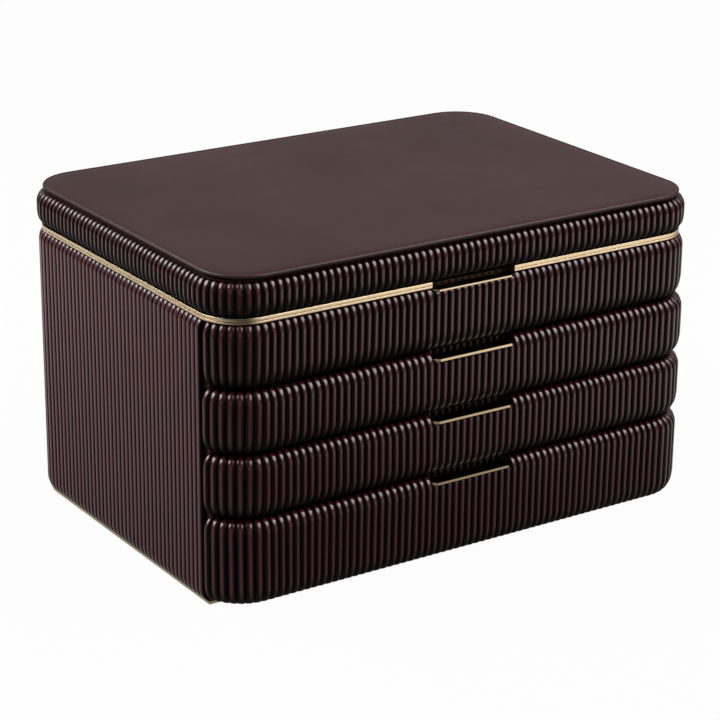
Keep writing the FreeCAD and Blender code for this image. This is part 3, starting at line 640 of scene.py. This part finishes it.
# %% Cover the lid's four sides
BAND_TUCK = -2.6 * MM
band_low, band_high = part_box("lid_band")
band_half = (band_high[2] - band_low[2]) / 2
band_crest = -band_low[0] - HALF_WIDTH - 3 * SKIN
band_rows = side_view(band_low[2], band_high[2], band_crest, (BAND_TUCK, band_half * 0.8),
                      (BAND_TUCK, band_half * 0.7))
lid_wall = pleated_wall("lid_leather", whole_path(), band_rows, around=True)
dress(lid_wall, "pleated_leather")
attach(lid_wall, "lid")
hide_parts("lid_band")

# %% [markdown]
# ## Shapes that follow an outline
# The lid's top panel, the brass rims, the mirror's frame and the suede linings are all one section carried
# along a path. A section is a loop of points, each with how far out and how high it lies.

# %% Carry a section along a path
def sweep(name, path, section, around=False):
    """A closed section along path. An open path gets its two ends closed."""
    bm = bmesh.new()
    spots = path.sections()
    rings = []
    for s in spots[:-1] if around else spots:
        spot, outward = path.at(s)
        rings.append([bm.verts.new((*(spot + outward * out), z)) for out, z in section])
    pairs = list(zip(rings, rings[1:])) + ([(rings[-1], rings[0])] if around else [])
    for first, second in pairs:
        for i in range(len(section)):
            j = (i + 1) % len(section)
            bm.faces.new((first[i], second[i], second[j], first[j])).smooth = True
    for ring in () if around else (rings[0], rings[-1][::-1]):
        for edge in bm.faces.new(ring).edges:
            edge.smooth = False
    bmesh.ops.recalc_face_normals(bm, faces=bm.faces)
    return new_piece(name, bm)


def rounded_section(inner, outer, low, high, nose, steps=6):
    """A flat bar with a rounded outer edge: nose is the rounding's radius."""
    points = [(inner, low)]
    for i in range(steps + 1):
        angle = -pi / 2 + pi / 2 * i / steps
        points.append((outer - nose + nose * cos(angle), low + nose + nose * sin(angle)))
    for i in range(steps + 1):
        angle = pi / 2 * i / steps
        points.append((outer - nose + nose * cos(angle), high - nose + nose * sin(angle)))
    return points + [(inner, high)]


def outline(low, high, front, back, gap=0.0):
    """A rectangle with rounded corners, of radius front at the front and back at the back. It starts and
    ends in the middle of the front, at either side of a gap twice as wide as gap."""
    path = Path()
    path.line((gap, low[1]), (high[0] - front, low[1]))
    path.arc((high[0] - front, low[1] + front), pi * 1.5, pi * 2, front)
    path.line((high[0], low[1] + front), (high[0], high[1] - back))
    path.arc((high[0] - back, high[1] - back), 0, pi / 2, back)
    path.line((high[0] - back, high[1]), (low[0] + back, high[1]))
    path.arc((low[0] + back, high[1] - back), pi / 2, pi, back)
    path.line((low[0], high[1] - back), (low[0], low[1] + front))
    path.arc((low[0] + front, low[1] + front), pi, pi * 1.5, front)
    path.line((low[0] + front, low[1]), (-gap, low[1]))
    return path


# %% [markdown]
# ## The brass seam
# Two polished bars meet where the lid closes: one lies on the body, the other hangs from the lid. Their
# outer edges are eased with a file, so each shows a bright middle and darker edges. At the finger notch
# both stop. A sharp edge would catch no light at all, which is why the easing is modelled.

# %% Bend the two rims
RIM_DEPTH = 5.5 * MM


def rim(node, body, nose):
    """A bar along the seam that stops at both sides of the finger notch. nose is the easing's radius."""
    low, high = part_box(node)
    section = rounded_section(-RIM_DEPTH, 0.0, low[2], high[2], nose)
    path = outline(low, high, SEAM_CORNER, SEAM_CORNER, NOTCH)
    piece = sweep(f"{node}_bar", path, section)
    dress(piece, "brass")
    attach(piece, body)
    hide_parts(node)
    print(f"{node}: {(high[2] - low[2]) * 1000:.1f} mm tall")


rim("body_rim", "case", 0.16 * MM)
rim("lid_rim", "lid", 0.3 * MM)

# %% [markdown]
# ## The lid's top panel
# Smooth leather is glued over a flat board, and its edge is turned over a cord, which makes a thin bead
# with a fine crease inside it. Below the bead the panel is cut back, and that step stays dark.

# %% Make the panel
panel_low, panel_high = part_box("lid_panel")
PANEL_CORNER = 28 * MM
BEAD = 1.15 * MM
CREASE = ((1.75, 0.42), (2.1, 0.5), (2.6, 0.38))
CROWN = ((3.4, 0.3), (4.4, 0.2), (5.8, 0.11), (8, 0.05), (12, 0.02), (20, 0.0), (75, 0.0))


def panel_rows(top, low):
    """From the bottom of the step, round the bead and the crease, to the middle: (how far in, height)."""
    under = top - 2 * BEAD
    rows = [(4.5 * MM, low), (3.6 * MM, low + 0.2 * MM)]
    rows += [(3.2 * MM, under - 0.1 * MM), (1.6 * MM, under - 0.05 * MM)]
    for i in range(9):
        angle = -pi / 2 + pi * 0.94 * i / 8
        rows.append((BEAD - BEAD * cos(angle), top - BEAD - 0.1 * MM + BEAD * sin(angle)))
    return rows + [(inset * MM, top - drop * MM) for inset, drop in CREASE + CROWN]


def stacked_plate(name, low, high, corner, rows):
    """A plate with a rounded outline that goes through rows, and is closed at both ends of them. Past the
    corner's radius a row can't shrink by an offset any more, so the rest is done by scaling."""
    bm = bmesh.new()
    rings = []
    path = outline(low, high, corner, corner)
    spots = path.sections(2 * MM)[:-1]
    for inset, z in rows:
        keep = min(inset, corner * 0.85)
        ring = []
        for s in spots:
            spot, outward = path.at(s)
            point = spot - outward * keep
            point.x *= 1 - (inset - keep) / high[0]
            point.y *= 1 - (inset - keep) / high[1]
            ring.append(bm.verts.new((point.x, point.y, z)))
        rings.append(ring)
    for first, second in zip(rings, rings[1:]):
        for i in range(len(first)):
            j = (i + 1) % len(first)
            bm.faces.new((first[i], first[j], second[j], second[i])).smooth = True
    bm.faces.new(rings[-1]).smooth = True
    bm.faces.new(rings[0][::-1])
    bmesh.ops.recalc_face_normals(bm, faces=bm.faces)
    return new_piece(name, bm)


top_rows = panel_rows(panel_high[2], panel_low[2])
top_panel = stacked_plate("top_panel", panel_low, panel_high, PANEL_CORNER, top_rows)
dress(top_panel, "smooth_leather")
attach(top_panel, "lid")
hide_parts("lid_panel")
print("top panel:", len(top_panel.data.polygons), "faces")

# %% [markdown]
# ## The lid's lining and the mirror's frame
# Inside the lid, suede covers the walls and the ceiling in one piece, and its lower edge is turned round a
# thin board. The ceiling is padded, so it swells a little before it meets the mirror. The mirror sits in a
# padded leather frame, a roll that is high near its outer edge and falls to a thin lip on the glass.

# %% Line the lid
SUEDE = 1.2 * MM
CEILING = ((2, 0.35), (4, 0.7), (9, 1.0), (24, 1.0), (70, 0.8))
TURN_STEPS = 6


def turned_edge(out, edge, facing):
    """The round edge of a suede-covered board SUEDE thick, from its outer face to its inner one."""
    half = SUEDE / 2
    turn = [pi * i / TURN_STEPS for i in range(TURN_STEPS + 1)]
    return [(out - half + half * cos(angle), edge + facing * (half * sin(angle) - half)) for angle in turn]


def line_lid():
    low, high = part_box("lid_lining")
    ceiling = high[2] - SUEDE
    rows = [(70 * MM, high[2]), (0.0, high[2])]
    rows += [(-out, z) for out, z in turned_edge(0.0, low[2], -1)]
    rows += [(SUEDE, ceiling)] + [(inset * MM, ceiling - drop * MM) for inset, drop in CEILING]
    lining = stacked_plate("lid_suede", low, high, SEAM_CORNER - (HALF_WIDTH - high[0]), rows)
    dress(lining, "suede")
    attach(lining, "lid")
    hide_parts("lid_lining")
    print("lid lining:", len(lining.data.polygons), "faces")


line_lid()

# %% Frame the mirror
FRAME_WIDTH, FRAME_CORNER = 12 * MM, 22 * MM


def frame_mirror():
    low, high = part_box("mirror_frame")
    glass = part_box("mirror")[0][2]
    crown, back, lap = FRAME_WIDTH / 2, high[2] - 0.1 * MM, -FRAME_WIDTH + 2 * MM
    section = [(lap, back), (0.0, back)]
    for i in range(13):
        angle = pi * i / 12
        tall = back - 0.4 * MM - low[2] if angle < pi / 2 else glass - low[2]
        section.append((-crown + crown * cos(angle), low[2] + tall * (1 - sin(angle))))
    section.append((lap, glass))
    frame_roll = sweep("mirror_roll", outline(low, high, FRAME_CORNER, FRAME_CORNER), section, around=True)
    dress(frame_roll, "smooth_leather")
    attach(frame_roll, "lid")
    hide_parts("mirror_frame")
    print("mirror roll:", len(frame_roll.data.polygons), "faces")


frame_mirror()

# %% [markdown]
# ## Suede in the tray and the drawers
# Each compartment has a thin padded floor that swells in its middle, and the dividers are boards wrapped in
# the same suede, so their top edges are round. Both are the same kind of shape: a block whose top falls
# away near its edges. It is a grid with close lines where it is round and wide ones where it is flat.

# %% A block with a soft top
EASE_STEPS = 5
FLAT_STEP = 12 * MM


def spaced(low, high, edge):
    """Places from low to high, close together over the rounded edges."""
    ease = [edge * (1 - cos(pi / 2 * i / EASE_STEPS)) for i in range(EASE_STEPS + 1)]
    wide = high - low - 2 * edge
    count = max(1, round(wide / FLAT_STEP))
    middle = [low + edge + wide * i / count for i in range(1, count)]
    return [low + e for e in ease] + middle + [high - e for e in ease[::-1]]


def soft_block(bm, low, high, edge, fall):
    """A closed block whose top falls by fall over its outermost edge metres."""
    def height(*point):
        level = 1.0
        for axis in (0, 1):
            near = min(point[axis] - low[axis], high[axis] - point[axis], edge)
            level *= sqrt(max(0.0, 1 - (1 - near / edge) ** 2))
        return high[2] - fall * (1 - level)

    xs, ys = spaced(low[0], high[0], edge), spaced(low[1], high[1], edge)
    grid = [[bm.verts.new((x, y, height(x, y))) for y in ys] for x in xs]
    for near, far in zip(grid, grid[1:]):
        for j in range(len(ys) - 1):
            bm.faces.new((near[j], far[j], far[j + 1], near[j + 1])).smooth = True
    around = [column[0] for column in grid[:-1]] + grid[-1][:-1]
    around += [column[-1] for column in grid[:0:-1]] + grid[0][:0:-1]
    foot = [bm.verts.new((*vert.co.xy, low[2])) for vert in around]
    for i in range(len(foot)):
        j = (i + 1) % len(foot)
        bm.faces.new((around[i], foot[i], foot[j], around[j])).smooth = True
    bm.faces.new(foot[::-1])


print(f"a pad 100 mm wide has {len(spaced(0, 100 * MM, 7 * MM))} rows of points")

# %% Fit an insert: padded floors between dividers
BOARD = 3 * MM
BOARD_ROUND = 1.4 * MM
PAD = 1.5 * MM
PAD_EDGE, PAD_FALL = 7 * MM, 1.2 * MM


def suede_insert(node, body, walls, long_walls):
    """walls are the left faces of the dividers that run back, and long_walls the spans that have a divider
    across their middle."""
    low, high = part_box(node)
    middle = (low[1] + high[1]) / 2
    bm = bmesh.new()
    spans = list(zip([low[0]] + [x + BOARD for x in walls], walls + [high[0]]))
    for x in walls:
        soft_block(bm, (x, low[1], low[2]), (x + BOARD, high[1], high[2]), BOARD_ROUND, BOARD_ROUND)
    for i, (left, right) in enumerate(spans):
        rows = [(low[1], high[1])]
        if i in long_walls:
            near, far = middle - BOARD / 2, middle + BOARD / 2
            rows = [(low[1], near), (far, high[1])]
            soft_block(bm, (left, near, low[2]), (right, far, high[2]), BOARD_ROUND, BOARD_ROUND)
        for front, back in rows:
            soft_block(bm, (left, front, low[2]), (right, back, low[2] + PAD), PAD_EDGE, PAD_FALL)
    piece = new_piece(f"{node}_suede", bm)
    dress(piece, "suede")
    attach(piece, body)
    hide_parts(node)
    print(f"{node}: {len(spans)} spans, {len(piece.data.polygons)} faces")


# %% Fit the four inserts
TRAY_WALL = 16 * MM
suede_insert("tray_insert", "case", [TRAY_WALL], [1])
for drawer, wall_count in zip(DRAWERS, (3, 2, 1)):
    left, right = (corner[0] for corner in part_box(f"{drawer}_insert"))
    walls = [left + (right - left) * (i + 1) / (wall_count + 1) - BOARD / 2 for i in range(wall_count)]
    suede_insert(f"{drawer}_insert", drawer, walls, range(wall_count + 1) if wall_count > 1 else [])

# %% Line the tray
TRAY_FRONT_CORNER, TRAY_BACK_CORNER = 1.5 * MM, 16 * MM
tray_low, tray_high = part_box("tray_lining")
lining_section = [(-SUEDE, tray_low[2]), (0.0, tray_low[2])] + turned_edge(0.0, tray_high[2], 1)
lining_path = outline(tray_low, tray_high, TRAY_FRONT_CORNER, TRAY_BACK_CORNER)
tray_lining = sweep("tray_suede", lining_path, lining_section, around=True)
dress(tray_lining, "suede")
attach(tray_lining, "case")
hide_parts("tray_lining")
print("tray lining:", len(tray_lining.data.polygons), "faces")

# %% [markdown]
# ## Ring rolls
# Rings are pushed edgeways between soft foam rolls covered in suede. A roll isn't a perfect cylinder: it
# settles flat on the tray, leans on its neighbours, and its ends are gathered into small folds. The shape
# is a ring of points for each place along it, with those three changes made to its radius.

# %% Make the rolls
ROLLS = 10
AROUND, ALONG, EASING = 32, 20, 6
ROUND_END = 5 * MM
FOLDS, FOLD_DEPTH, LUMP_DEPTH = 8, 0.05, 0.012
SQUARENESS, WIDEST, END_ROUNDNESS = 2.3, 1.06, 2.4


def ring_roll(bm, left, right, centre, radius, seed):
    """One roll along X, closed at both ends."""
    length = right - left
    ease = [ROUND_END * (1 - cos(pi / 2 * i / EASING)) for i in range(1, EASING + 1)]
    inner = [ROUND_END + (length - 2 * ROUND_END) * i / ALONG for i in range(1, ALONG)]
    spots = ease + inner + [length - e for e in ease[::-1]]
    rings = []
    for s in spots:
        near = min(s, length - s, ROUND_END) / ROUND_END
        full = (1 - (1 - near) ** END_ROUNDNESS) ** (1 / END_ROUNDNESS)
        ring = []
        for i in range(AROUND):
            angle = 2 * pi * i / AROUND
            square = (abs(cos(angle)) ** SQUARENESS + abs(sin(angle)) ** SQUARENESS) ** (-1 / SQUARENESS)
            fold = 1 + FOLD_DEPTH * (1 - near) * cos(angle * FOLDS)
            lump = 1 + LUMP_DEPTH * noise.noise(Vector((s * 40, angle * 1.5, seed)))
            out = radius * full * min(square, WIDEST) * fold * lump
            ring.append(bm.verts.new((left + s, centre[0] + out * cos(angle), centre[1] + out * sin(angle))))
        rings.append(ring)
    for first, second in zip(rings, rings[1:]):
        for i in range(AROUND):
            j = (i + 1) % AROUND
            bm.faces.new((first[i], first[j], second[j], second[i])).smooth = True
    bm.faces.new(rings[0][::-1]).smooth = True
    bm.faces.new(rings[-1]).smooth = True


rolls_low, rolls_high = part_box("ring_rolls")
roll_radius = (rolls_high[2] - rolls_low[2]) / 2
roll_pitch = (rolls_high[1] - rolls_low[1] - 2 * roll_radius) / (ROLLS - 1)
rolls_mesh = bmesh.new()
for i in range(ROLLS):
    centre = (rolls_low[1] + roll_radius + roll_pitch * i, rolls_low[2] + roll_radius)
    ring_roll(rolls_mesh, rolls_low[0], rolls_high[0], centre, roll_radius, i * 5.3)
bmesh.ops.recalc_face_normals(rolls_mesh, faces=rolls_mesh.faces)
rolls = new_piece("ring_rolls_suede", rolls_mesh)
dress(rolls, "suede")
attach(rolls, "case")
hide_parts("ring_rolls")
print(f"{ROLLS} rolls, {roll_pitch * 1000:.1f} mm apart")

# %% [markdown]
# ## The studio
# Polished pleats show what they mirror. Seen from above, an upright wall mirrors the floor, so the floor
# looks bright to reflections only in a few soft-edged pools. One at the front right draws the bright stripe
# along each pleat of the front, weaker ones at the left and at the back do so for the left wall and the
# corner, and one at the back right serves the other side. Between the pools the floor looks dark, so the
# grooves stay dark as well. The lights hang high, where the flat top doesn't mirror them into a low view.
# They round the tops of the pleats and light the suede and the wood. The sky glows faintly near the horizon
# and gives the top its satin sheen. To the camera the floor is a plain pale sheet, and it still takes the
# box's shadow.

# %% Lay the floor
# Each pool has a middle, a reach in metres and a level.
POOLS = (
    ((0.65, -0.65, 0), 0.93, 1.0),
    ((-0.65, 0.3, 0), 0.95, 0.44),
    ((0.62, 0.55, 0), 0.6, 0.8),
    ((-0.05, 0.8, 0), 0.65, 0.45),
)
POOL_TONE, BETWEEN_POOLS, FULL_SHARE = (1.0, 0.92, 0.91), 0.05, 0.35
PAPER_GREY, SHADOW_SHARE = 0.4, 0.03


def pooled_light(paper):
    """How bright the floor looks in a reflection: each pool fades from its middle out to its reach."""
    lit = BETWEEN_POOLS
    for middle, reach, level in POOLS:
        span = {0: paper.place(), 1: middle}
        apart = paper.node("ShaderNodeVectorMath", {"operation": "DISTANCE"}, span, out=1)
        ends = {0: apart, 1: reach, 2: reach * FULL_SHARE, 3: 0.0, 4: level}
        lit = paper.node("ShaderNodeMapRange", {"interpolation_type": "SMOOTHSTEP"}, ends) + lit
    return lit


def make_floor():
    bm = bmesh.new()
    bmesh.ops.create_grid(bm, x_segments=2, y_segments=2, size=8.0)
    floor = new_piece("floor", bm)
    paper = Finish("floor_paper", Base_Color=(PAPER_GREY,) * 3, Roughness=1.0, Specular_IOR_Level=0.0)
    straight, glossy, through = [paper.node("ShaderNodeLightPath", out=f"Is {kind} Ray")
                                 for kind in ("Camera", "Glossy", "Transmission")]
    mirrored = glossy + through
    tone = paper.mix(straight, POOL_TONE, (1.0, 1.0, 1.0))
    brightness = straight + mirrored * pooled_light(paper)
    white = paper.node("ShaderNodeEmission", {}, {"Color": tone, "Strength": brightness})
    plain = Socket(paper, paper.shader.outputs[0])
    seen = (straight + mirrored) * (1 - SHADOW_SHARE)
    blend = paper.node("ShaderNodeMixShader", {}, {0: seen, 1: plain, 2: white})
    paper.join(blend, paper.nodes["Material Output"].inputs["Surface"])
    floor.data.materials.append(paper.material)


make_floor()
print("pools of light:", len(POOLS))

# %% Hang the lights
def softbox(name, turn, rise, distance, width, height, level):
    """A soft light at so many degrees round from the front and up. level 1 lights a facing surface fully."""
    light = bpy.data.lights.new(name, "AREA")
    light.shape, light.size, light.size_y = "RECTANGLE", width, height
    light.energy = level * (pi * distance) ** 2
    lamp = bpy.data.objects.new(name, light)
    scene.collection.objects.link(lamp)
    turn, rise = radians(turn), radians(rise)
    back = Vector((sin(turn) * cos(rise), -cos(turn) * cos(rise), sin(rise)))
    lamp.location = Vector((0, 0, 0.1)) + back * distance
    lamp.rotation_euler = back.to_track_quat("Z", "Y").to_euler()
    lamp.visible_camera = False


softbox("front_right", turn=42, rise=46, distance=1.5, width=1.5, height=0.95, level=0.8)
softbox("back_left", turn=-128, rise=46, distance=1.5, width=1.6, height=0.95, level=1.3)
softbox("above", turn=75, rise=66, distance=1.0, width=0.8, height=0.8, level=0.5)

# %% Let the sky glow near the horizon
GLOW_HEIGHTS, GLOW_LEVELS = (0.1, 0.6), (0.4, 0.03)


def make_sky():
    world = bpy.data.worlds.new("studio")
    world.use_nodes = True
    sky = Tree(world.node_tree)
    height = sky.parts(sky.node("ShaderNodeTexCoord", out="Generated"))[2]
    background = sky.nodes["Background"]
    sky.join(sky.stretch_range(height, GLOW_HEIGHTS, GLOW_LEVELS), background.inputs["Strength"])
    sky.join((1, 1, 1, 1), background.inputs["Color"])
    scene.world = world


make_sky()
scene.view_settings.view_transform = "Standard"
print(f"the sky's glow falls from {GLOW_LEVELS[0]} to {GLOW_LEVELS[1]}")
